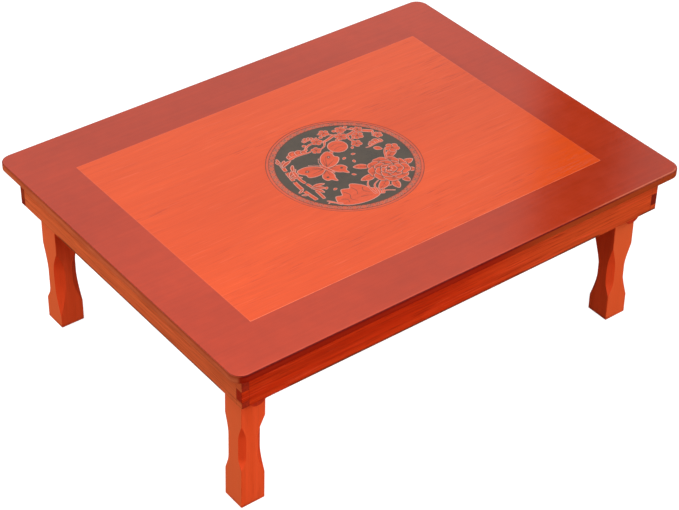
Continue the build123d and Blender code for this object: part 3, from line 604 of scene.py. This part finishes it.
def smooth(points, per=5):
    out = []
    p = [points[0]] + list(points) + [points[-1]]
    for i in range(1, len(p) - 2):
        for k in range(per):
            t = k / per
            out.append(tuple(0.5 * (2 * p[i][j] + (p[i + 1][j] - p[i - 1][j]) * t
                                    + (2 * p[i - 1][j] - 5 * p[i][j] + 4 * p[i + 1][j] - p[i + 2][j]) * t * t
                                    + (3 * p[i][j] - p[i - 1][j] - 3 * p[i + 1][j] + p[i + 2][j]) * t ** 3)
                             for j in (0, 1)))
    out.append(tuple(points[-1]))
    return out


def stroke(points, w0, w1, per=5):
    mid = smooth(points, per)
    left, right = [], []
    for i, (x, y) in enumerate(mid):
        a, b = mid[max(0, i - 1)], mid[min(len(mid) - 1, i + 1)]
        dx, dy = b[0] - a[0], b[1] - a[1]
        m = math.hypot(dx, dy) or 1.0
        h = (w0 + (w1 - w0) * i / (len(mid) - 1)) / 2
        left.append((x - dy / m * h, y + dx / m * h))
        right.append((x + dy / m * h, y - dx / m * h))
    return left + right[::-1]


def grow(outline, h):
    n = len(outline)
    area = sum(outline[i][0] * outline[(i + 1) % n][1] - outline[(i + 1) % n][0] * outline[i][1] for i in range(n))
    sgn = 1.0 if area > 0 else -1.0
    out = []
    for i in range(n):
        a, b = outline[i - 1], outline[(i + 1) % n]
        dx, dy = b[0] - a[0], b[1] - a[1]
        m = math.hypot(dx, dy) or 1.0
        out.append((outline[i][0] + sgn * dy / m * h, outline[i][1] - sgn * dx / m * h))
    return out


def motif(outline, level, halo=0.75, cut=0.0):
    """An orange shape with a paler rim. cut leaves a dark gap round it where it lies on other orange shapes."""
    rim = halo * 1.45
    if cut:
        lay("dark", grow(outline, rim + cut), level)
    lay("pale", grow(outline, rim), level)
    lay("fill", outline, level + 1)


def plum(x, y, r, turn, level):
    for k in range(5):
        a = turn + 72 * k
        q = math.radians(a)
        motif(circle(x + 0.56 * r * math.cos(q), y + 0.56 * r * math.sin(q), 0.40 * r, 16), level + (k % 2) * 2, 0.55, 0.5)
    lay("fill", circle(x, y, 0.36 * r, 14), level + 4)
    for k in range(5):
        q = math.radians(turn + 36 + 72 * k)
        lay("dark", stroke([(x + 0.12 * r * math.cos(q), y + 0.12 * r * math.sin(q)),
                            (x + 0.62 * r * math.cos(q), y + 0.62 * r * math.sin(q))], 0.55, 0.75, 2), level + 5)
    lay("dark", circle(x, y, 0.13 * r, 10), level + 6)


def leafy(x, y, turn, length, width, bend, level, ribs=3):
    motif(along(x, y, turn, length, width, bend), level, 0.75, 0.6)
    c, s = math.cos(math.radians(turn)), math.sin(math.radians(turn))
    spine = []
    for t in (0.06, 0.3, 0.55, 0.8, 0.93):
        u, v = length * t, bend * length * math.sin(math.pi * t) * 0.5
        spine.append((x + u * c - v * s, y + u * s + v * c))
    lay("dark", stroke(spine, 0.9, 0.4, 3), level + 2)
    for k in range(ribs):
        t = 0.25 + 0.5 * k / max(1, ribs - 1)
        u, v = length * t, bend * length * math.sin(math.pi * t) * 0.5
        for sgn in (1, -1):
            u2, v2 = u + length * 0.11, v + sgn * width * 0.30
            lay("dark", stroke([(x + u * c - v * s, y + u * s + v * c), (x + u2 * c - v2 * s, y + u2 * s + v2 * c)], 0.5, 0.3, 1), level + 3)


def peony(x, y, r, turn, level):
    for ring, (n, rad, size) in enumerate(((9, 0.66, 0.42), (7, 0.40, 0.34), (5, 0.18, 0.24))):
        for k in range(n):
            a = turn + ring * 17 + 360 * k / n
            q = math.radians(a)
            cx, cy = x + rad * r * math.cos(q), y + rad * r * math.sin(q)
            lev = level + ring * 4 + (k % 2) * 2
            motif(scallop(cx, cy, size * r, 5, 0.16, a, 40, 0.86, a + 90), lev, 0.62, 1.05)
            for off in (-16, 0, 16):
                w = math.radians(a + off)
                p0 = (cx + 0.05 * r * math.cos(w), cy + 0.05 * r * math.sin(w))
                p1 = (cx + 0.62 * size * r * math.cos(w), cy + 0.62 * size * r * math.sin(w))
                lay("dark", stroke([p0, p1], 0.35, 0.8, 1), lev + 2, 0.6)
    lay("dark", circle(x, y, 0.085 * r, 14), level + 15)
    for k in range(8):
        q = 2 * math.pi * k / 8
        lay("pale", circle(x + 0.17 * r * math.cos(q), y + 0.17 * r * math.sin(q), 0.035 * r, 8), level + 16)


def butterfly(x, y, size, turn, level):
    c, s = math.cos(math.radians(turn)), math.sin(math.radians(turn))

    def put(pts):
        return [(x + size * (u * c - v * s), y + size * (u * s + v * c)) for u, v in pts]

    for m in (1, -1):
        low = smooth([(0.03 * m, -0.06), (0.26 * m, -0.10), (0.48 * m, -0.26), (0.50 * m, -0.46), (0.37 * m, -0.54),
                      (0.30 * m, -0.72), (0.22 * m, -0.55), (0.10 * m, -0.40), (0.03 * m, -0.06)], 6)[:-1]
        high = smooth([(0.03 * m, 0.02), (0.14 * m, 0.32), (0.40 * m, 0.56), (0.74 * m, 0.62), (0.80 * m, 0.44), (0.72 * m, 0.26),
                       (0.76 * m, 0.10), (0.55 * m, -0.04), (0.28 * m, -0.08), (0.03 * m, 0.02)], 6)[:-1]
        motif(put(low), level, 0.85, 0.8)
        motif(put(high), level + 2, 0.85, 0.8)
        lay("dark", put(oval(0.56 * m, 0.36, 0.075, 0.055, 30 * m, 18)), level + 4)
        lay("pale", put(oval(0.56 * m, 0.36, 0.032, 0.026, 30 * m, 12)), level + 5)
        lay("dark", put(oval(0.36 * m, -0.36, 0.055, 0.045, 0, 16)), level + 4)
        for e in ((0.68, 0.54), (0.70, 0.16), (0.40, 0.46)):
            lay("dark", put(stroke([(0.09 * m, 0.05), (e[0] * 0.5 * m, e[1] * 0.55), (e[0] * 0.80 * m, e[1] * 0.86)], 0.022, 0.010, 3)), level + 5)
        for e in ((0.44, -0.22), (0.30, -0.46)):
            lay("dark", put(stroke([(0.08 * m, -0.08), (e[0] * 0.75 * m, e[1] * 0.75)], 0.020, 0.010, 2)), level + 5)
        lay("pale", put(stroke([(0.02 * m, 0.24), (0.10 * m, 0.42), (0.24 * m, 0.54)], 0.022, 0.014, 4)), level + 4)
        lay("pale", put(circle(0.255 * m, 0.55, 0.024, 10)), level + 5)
    motif(put(along(0.0, -0.36, 90, 0.64, 0.10, 0.0, 1.1)), level + 6, 0.6)
    for v in (-0.20, -0.10, 0.0, 0.10):
        lay("dark", put(stroke([(-0.035, v), (0.035, v)], 0.020, 0.020, 1)), level + 8)


def cloud(x, y, size, flip, level):
    def put(pts):
        return [(x + size * u * flip, y + size * v) for u, v in pts]

    for k, (u, v, r) in enumerate(((-0.42, 0.0, 0.20), (-0.14, 0.14, 0.25), (0.20, 0.08, 0.22), (0.44, -0.03, 0.15))):
        motif(put(circle(u, v, r, 20)), level + (k % 2) * 2, 0.7, 0.6)
        swirl = [(u + r * f * math.cos(q), v + r * f * math.sin(q)) for f, q in
                 ((0.80, 3.6), (0.78, 2.4), (0.72, 1.2), (0.62, 0.1), (0.48, -1.0), (0.30, -2.2))]
        lay("dark", put(stroke(swirl, 0.030, 0.022, 3)), level + 4)
    motif(put(stroke([(-0.60, -0.16), (-0.20, -0.10), (0.30, -0.15), (0.66, -0.22), (0.98, -0.16)], 0.15, 0.03, 5)), level + 4, 0.5)


def bamboo(points, width, level, leaves):
    mid = smooth(points, 8)
    n = len(mid)
    joints = [0, n // 4, n // 2, 3 * n // 4, n - 1]
    for a, b in zip(joints[:-1], joints[1:]):
        part = mid[a + (1 if a else 0):b + 1]
        motif(stroke([part[0], part[len(part) // 2], part[-1]], width, width * 0.94, 3), level, 0.6)
        lay("dark", stroke([part[0], part[len(part) // 2]], 0.4, 0.25, 2), level + 2)
    for i in joints[1:-1]:
        lay("dark", oval(mid[i][0], mid[i][1], width * 0.62, 0.55, 6, 14), level + 3)
    for x, y, turn, length in leaves:
        leafy(x, y, turn, length, length * 0.24, 0.10, level + 4, 0)


def draw_medallion():
    rng = random.Random(41)
    # plain discs and rings
    lay("ground", circle(0, 0, 103.9, 180), 0, limit=104.0)
    # rock and grasses at the bottom left
    rock = smooth([(-66, -72), (-60, -58), (-50, -60), (-43, -48), (-31, -52), (-24, -44), (-12, -55), (-6, -68), (2, -76),
                   (-4, -88), (-22, -92), (-42, -89), (-58, -82), (-66, -72)], 6)[:-1]
    motif(rock, 0, 0.8)
    for pts in (((-57, -66), (-50, -72), (-52, -80)), ((-44, -54), (-40, -64), (-45, -74), (-40, -82)), ((-28, -52), (-26, -62), (-31, -70)),
                ((-14, -60), (-18, -68), (-12, -76)), ((-30, -78), (-22, -80), (-14, -84))):
        lay("dark", stroke(list(pts), 1.1, 0.5, 4), 2)
    for x0, y0, ex, ey in ((-4, -86, 16, -60), (-2, -88, 24, -70), (0, -89, 30, -82), (-8, -84, 4, -52), (2, -90, 20, -94),
                           (-64, -76, -76, -58), (-62, -76, -78, -64)):
        mx, my = (x0 + ex) / 2 - 3, (y0 + ey) / 2 + 6
        motif(stroke([(x0, y0), (mx, my), (ex, ey)], 2.5, 0.5, 6), 3, 0.5)
    # bamboo on the left rim
    bamboo([(-86, -46), (-88, -10), (-83, 24), (-76, 56)], 4.8, 3,
           ((-84, 22, 30, 21), (-84, 20, 2, 20), (-85, 18, -28, 17), (-79, 46, 48, 19), (-78, 48, 20, 20), (-76, 56, 80, 14), (-76, 54, 108, 11)))
    bamboo([(-75, -50), (-73, -20), (-76, 6), (-72, 30)], 3.6, 6,
           ((-74, -20, -36, 20), (-74, -18, -8, 21), (-74, -22, -64, 18), (-72, 30, 58, 16), (-87, -14, 206, 11), (-88, -30, 150, 10)))
    # clouds
    cloud(-42, 62, 27, 1, 2)
    cloud(72, 20, 20, -1, 2)
    cloud(-6, 84, 15, 1, 9)
    # moon behind the plum branch
    motif(circle(20, 44, 14.5, 40), 0, 0.8)
    lay("dark", stroke([(10, 49), (20, 51), (30, 47)], 0.7, 0.5, 4), 2)
    lay("dark", stroke([(11, 40), (21, 42), (31, 38)], 0.7, 0.5, 4), 2)
    # plum branch from the top right
    motif(stroke([(88, 46), (70, 60), (50, 60), (34, 70), (12, 66), (-10, 72), (-24, 66)], 5.6, 1.6, 7), 4, 0.7)
    for pts, w in ((((70, 60), (62, 71), (49, 79)), 2.6), (((50, 60), (46, 48), (50, 38), (46, 30)), 2.4), (((34, 70), (26, 80), (14, 87)), 2.2),
                   (((12, 66), (4, 56), (-8, 52)), 2.0), (((70, 60), (73, 66)), 2.0), (((88, 46), (80, 36)), 2.2)):
        motif(stroke(list(pts), w, 0.9, 5), 3, 0.55)
    for x, y, r, a in ((62, 50, 9.5, 10), (50, 77, 8.6, 40), (40, 62, 9.5, 75), (24, 84, 8.5, 20), (2, 72, 8.8, 50), (72, 63, 7.6, 5),
                       (48, 34, 8.6, 30), (-12, 54, 8.0, 62), (88, 34, 7.6, 18)):
        plum(x, y, r, a, 9)
    for x, y, r in ((40, 80, 2.6), (66, 70, 2.5), (14, 78, 2.4), (30, 58, 2.3), (-20, 74, 2.5), (52, 48, 2.2), (61, 79, 2.4), (-24, 64, 2.2)):
        motif(circle(x, y, r, 14), 8, 0.55)
        lay("dark", circle(x, y, 0.6, 8), 10)
    # peony with its leaves
    for x, y, a, length, w, b in ((28, -62, 214, 30, 13, 0.16), (36, -72, 250, 22, 11, -0.12), (66, -62, 322, 14, 9, 0.12), (70, -44, 352, 20, 11, -0.14),
                                  (62, -24, 26, 28, 12, 0.15), (26, -26, 146, 24, 11, -0.12), (48, -74, 284, 15, 9, 0.1), (22, -44, 184, 27, 12, 0.14)):
        leafy(x, y, a, length, w, b, 1)
    peony(46, -46, 31, 8, 3)
    motif(stroke([(60, -22), (68, -8), (76, 0)], 2.2, 1.6, 5), 3, 0.5)
    plum(84, -6, 11.5, 24, 6)
    motif(along(70, 0, 128, 13, 8, 0.0, 1.2), 4, 0.6)
    lay("dark", stroke([(69, 2), (65, 8)], 0.8, 0.4, 1), 6)
    # the butterfly and a few loose petals
    butterfly(-28, 8, 44, 14, 1)
    for x, y, a in ((6, 12, 20), (16, -4, 74), (-2, -30, 130), (30, 14, 160), (-60, -34, 40), (4, 34, 96), (-52, -42, 12), (34, 26, 50)):
        motif(along(x, y, a, 6.5, 3.6, 0.1, 1.2, 8), 1, 0.5)
    # beaded band
    for k in range(96):
        q = 2 * math.pi * k / 96
        cx, cy = 108.2 * math.cos(q), 108.2 * math.sin(q)
        if k % 2:
            lay("dark", oval(cx, cy, 2.1, 1.15, math.degrees(q) + 90, 10), 6, limit=112.0)
            lay("pale", oval(cx, cy, 0.9, 0.5, math.degrees(q) + 90, 8), 7, limit=112.0)
        else:
            lay("fill", oval(cx, cy, 1.5, 2.2, math.degrees(q) + 90, 12), 6, limit=112.0)
            lay("dark", circle(cx, cy, 0.45, 6), 7, limit=112.0)
        for r, sgn in ((105.3, 1), (111.2, -1)):
            w = q + math.pi / 96
            lay("dark", circle(r * math.cos(w), r * math.sin(w), 0.72 + 0.14 * rng.random(), 7), 6, limit=112.0)


def ring_mesh(r0, r1, z0, z1, n=180):
    verts, faces = [], []
    for r in (r0, r1):
        for z in (z0, z1):
            for k in range(n):
                q = 2 * math.pi * k / n
                verts.append((MED_X + r * 0.001 * math.cos(q), MED_Y + r * 0.001 * math.sin(q), z * 0.001))
    for k in range(n):
        a, b = k, (k + 1) % n
        ib, it, ob, ot = 0, n, 2 * n, 3 * n
        faces += [(it + a, ot + a, ot + b, it + b), (ib + b, ob + b, ob + a, ib + a),
                  (ob + a, ob + b, ot + b, ot + a), (ib + b, ib + a, it + a, it + b)]
    return verts, faces


def plates_mesh(items):
    verts, faces = [], []
    for outline, z0, z1 in items:
        clean = []
        for p in outline:
            if not clean or math.hypot(p[0] - clean[-1][0], p[1] - clean[-1][1]) > 0.02:
                clean.append(p)
        if math.hypot(clean[0][0] - clean[-1][0], clean[0][1] - clean[-1][1]) < 0.02:
            clean.pop()
        n = len(clean)
        if n < 3:
            continue
        if sum(clean[i][0] * clean[(i + 1) % n][1] - clean[(i + 1) % n][0] * clean[i][1] for i in range(n)) < 0:
            clean.reverse()
        base = len(verts)
        for z in (z0, z1):
            verts += [(MED_X + x * 0.001, MED_Y + y * 0.001, z * 0.001) for x, y in clean]
        for a, b, c in tessellate_polygon([[Vector((x, y, 0.0)) for x, y in clean]]):
            (ax, ay), (bx, by), (cx, cy) = clean[a], clean[b], clean[c]
            if (bx - ax) * (cy - ay) - (by - ay) * (cx - ax) < 0:
                b, c = c, b
            faces.append((base + n + a, base + n + b, base + n + c))
            faces.append((base + a, base + c, base + b))
        for i in range(n):
            j = (i + 1) % n
            faces.append((base + i, base + j, base + n + j, base + n + i))
    return verts, faces


def add_piece(name, verts, faces, mat, body, cad_nodes, slot_name):
    me = bpy.data.meshes.new(name)
    me.from_pydata(verts, [], faces)
    me.update()
    me.materials.append(mat)
    ob = bpy.data.objects.new(name, me)
    bpy.context.scene.collection.objects.link(ob)
    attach(ob, body)
    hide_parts(*cad_nodes)
    return ob


draw_medallion()
LAYERS = stack_shapes()
MED_MATS = {key: inlay_material("medallion_" + key, *spec) for key, spec in {
    "ground": ((0.034, 0.024, 0.0150), (0.046, 0.032, 0.0200), 0.0),
    "fill": ((0.450, 0.0460, 0.0080), (0.530, 0.0600, 0.0130), 1.0),
    "pale": ((0.440, 0.1750, 0.1350), (0.520, 0.2200, 0.1750), 0.2),
    "dark": ((0.048, 0.0200, 0.0100), (0.075, 0.0280, 0.0140), 0.1),
    "band": ((0.330, 0.0600, 0.0290), (0.390, 0.0760, 0.0370), 0.5),
    "rim": ((0.440, 0.0500, 0.0140), (0.500, 0.0600, 0.0180), 1.0),
    "line": ((0.085, 0.0150, 0.0060), (0.115, 0.0190, 0.0075), 0.1)}.items()}
for key, items in LAYERS.items():
    if items:
        add_piece("medallion_" + key, *plates_mesh(items), MED_MATS[key], "table", ("medallion_disc",), "medallion")
for key, r0, r1, z1 in (("band", 103.9, 112.3, 283.795), ("rim", 112.3, 116.0, 283.80), ("line", 116.0, 117.0, 283.82)):
    add_piece("medallion_ring_" + key, *ring_mesh(r0, r1, 283.74, z1), MED_MATS[key], "table", ("medallion_disc",), "medallion")
for name, r0, r1, z1 in (("medallion_edge_in", 103.4, 104.2, 283.990), ("medallion_edge_out", 112.0, 112.5, 283.990)):
    add_piece(name, *ring_mesh(r0, r1, 283.79, z1), MED_MATS["line"], "table", ("medallion_disc",), "medallion")

# ================================================================ stage
floor_mesh = bpy.data.meshes.new("studio_floor")
S = 14.0
floor_mesh.from_pydata([(-S, -S, -0.0004), (S, -S, -0.0004), (S, S, -0.0004), (-S, S, -0.0004)], [], [(0, 1, 2, 3)])
floor = bpy.data.objects.new("studio_floor", floor_mesh)
bpy.context.scene.collection.objects.link(floor)
# a pale floor as it is seen, which throws less light back up at the table than white paper would
floor_mat = bpy.data.materials.new("studio_floor")
floor_mat.use_nodes = True
ft = floor_mat.node_tree
ft.nodes.clear()
f_out = ft.nodes.new("ShaderNodeOutputMaterial")
f_path = ft.nodes.new("ShaderNodeLightPath")
f_mix = ft.nodes.new("ShaderNodeMixShader")
f_dull = ft.nodes.new("ShaderNodeBsdfDiffuse")
f_dull.inputs["Color"].default_value = (*FLOOR_BOUNCE, 1.0)
f_seen = ft.nodes.new("ShaderNodeBsdfDiffuse")
f_seen.inputs["Color"].default_value = (0.26, 0.26, 0.26, 1.0)
f_glow = ft.nodes.new("ShaderNodeEmission")
f_glow.inputs["Color"].default_value = (1.0, 1.0, 1.0, 1.0)
f_glow.inputs["Strength"].default_value = 0.93
f_add = ft.nodes.new("ShaderNodeAddShader")
ft.links.new(f_seen.outputs[0], f_add.inputs[0])
ft.links.new(f_glow.outputs[0], f_add.inputs[1])
ft.links.new(f_path.outputs["Is Camera Ray"], f_mix.inputs[0])
ft.links.new(f_dull.outputs[0], f_mix.inputs[1])
ft.links.new(f_add.outputs[0], f_mix.inputs[2])
ft.links.new(f_mix.outputs[0], f_out.inputs[0])
floor_mesh.materials.append(floor_mat)

scene = bpy.context.scene
scene.view_settings.view_transform = "Standard"
scene.view_settings.look = "None"

# the room: a bright wall behind the table, a dark gap beside it, and a dimmer wall to the right
world = bpy.data.worlds.new("studio")
scene.world = world
world.use_nodes = True


class Room(Tree):
    def __init__(self, nt):
        self.nt = nt
        nt.nodes.clear()
        self.out = nt.nodes.new("ShaderNodeOutputWorld")
        self.bg = nt.nodes.new("ShaderNodeBackground")
        nt.links.new(self.bg.outputs[0], self.out.inputs[0])
        tc = nt.nodes.new("ShaderNodeTexCoord")
        sep = nt.nodes.new("ShaderNodeSeparateXYZ")
        nt.links.new(tc.outputs["Generated"], sep.inputs[0])
        self.x, self.y, self.z = sep.outputs


room = Room(world.node_tree)
azimuth = room.mul(room.math("ARCTAN2", room.y, room.x), 180.0 / math.pi)
elevation = room.mul(room.math("ARCSINE", room.z), 180.0 / math.pi)
level = room.ramp(room.z, 0.0, 0.85, 0.42, 0.62)
height = room.band(elevation, 8.0, 66.0, 5.0)
wall = room.mul(room.band(azimuth, 45.0, 118.0, 0.35), height)
dim = room.mul(room.band(azimuth, 8.0, 41.9, 0.6), height)
gap = room.mul(room.band(azimuth, 41.9, 45.0, 0.35), height)
level = room.add(room.mul(level, room.inv(wall)), room.mul(wall, 0.87))
level = room.add(room.mul(level, room.inv(dim)), room.mul(dim, 0.72))
level = room.add(room.mul(level, room.inv(gap)), room.mul(gap, 0.03))
# seen directly, past the edge of the floor, the room is as white as the floor
seen = world.node_tree.nodes.new("ShaderNodeLightPath").outputs["Is Camera Ray"]
level = room.add(room.mul(level, room.inv(seen)), room.mul(seen, 1.0))
room.plug(level, room.bg.inputs["Strength"])
room.bg.inputs["Color"].default_value = (1.0, 0.992, 0.985, 1.0)


def area(name, place, aim, size_x, size_y, energy, colour=(1.0, 1.0, 1.0)):
    data = bpy.data.lights.new(name, "AREA")
    data.shape = "RECTANGLE"
    data.size, data.size_y = size_x, size_y
    data.energy = energy
    data.color = colour
    ob = bpy.data.objects.new(name, data)
    bpy.context.scene.collection.objects.link(ob)
    place, aim = Vector(place), Vector(aim)
    ob.location = place
    ob.rotation_mode = "QUATERNION"
    ob.rotation_quaternion = (aim - place).to_track_quat("-Z", "Y")
    ob.visible_camera = False
    return ob


def softbox(name, azimuth, elevation, distance, size_x, size_y, radiance, aim=(0.0, 0.0, 0.25), colour=(1.0, 1.0, 1.0)):
    """A softbox at an azimuth measured from +X towards +Y. radiance is what a mirror would show of it."""
    a, e = math.radians(azimuth), math.radians(elevation)
    place = Vector(aim) + Vector((math.cos(a) * math.cos(e), math.sin(a) * math.cos(e), math.sin(e))) * distance
    energy = radiance * size_x * size_y * math.pi * 1.0
    return area(name, place, aim, size_x, size_y, energy, colour)


softbox("front_softbox", 292.0, 38.0, 2.30, 1.7, 1.2, KEY_FRONT, colour=(1.0, 0.985, 0.96))
softbox("left_softbox", 155.0, 38.0, 2.30, 1.7, 1.2, KEY_LEFT, colour=(1.0, 0.99, 0.975))
softbox("near_softbox", 230.0, 64.0, 1.50, 0.5, 0.5, KEY_NEAR, aim=(-0.34, -0.24, 0.28), colour=(1.0, 0.98, 0.95))

softbox("low_softbox", 284.0, 9.0, 2.40, 1.2, 0.35, KEY_LOW, aim=(-0.30, 0.10, 0.12), colour=(1.0, 0.97, 0.92))

# ================================================================ camera
AZ, EL, ROLL = math.radians(-37.958), math.radians(37.367), math.radians(1.003)
TX, TY, DIST = 0.003524, 0.090752, 2.991362
back = Vector((math.sin(AZ) * math.cos(EL), -math.cos(AZ) * math.cos(EL), math.sin(EL)))
fwd = -back
right = fwd.cross(Vector((0, 0, 1))).normalized()
up = right.cross(fwd)
right2 = math.cos(ROLL) * right + math.sin(ROLL) * up
up2 = -math.sin(ROLL) * right + math.cos(ROLL) * up
place = right2 * TX + up2 * TY - fwd * DIST
cam_data = bpy.data.cameras.new("camera")
cam_data.lens, cam_data.sensor_width, cam_data.sensor_fit = 101.70, 36.0, "HORIZONTAL"
cam_data.clip_start, cam_data.clip_end = 0.05, 60.0
cam = bpy.data.objects.new("camera", cam_data)
bpy.context.scene.collection.objects.link(cam)
cam.matrix_world = Matrix((
    (right2.x, up2.x, back.x, place.x),
    (right2.y, up2.y, back.y, place.y),
    (right2.z, up2.z, back.z, place.z),
    (0, 0, 0, 1)))
bpy.context.scene.camera = cam
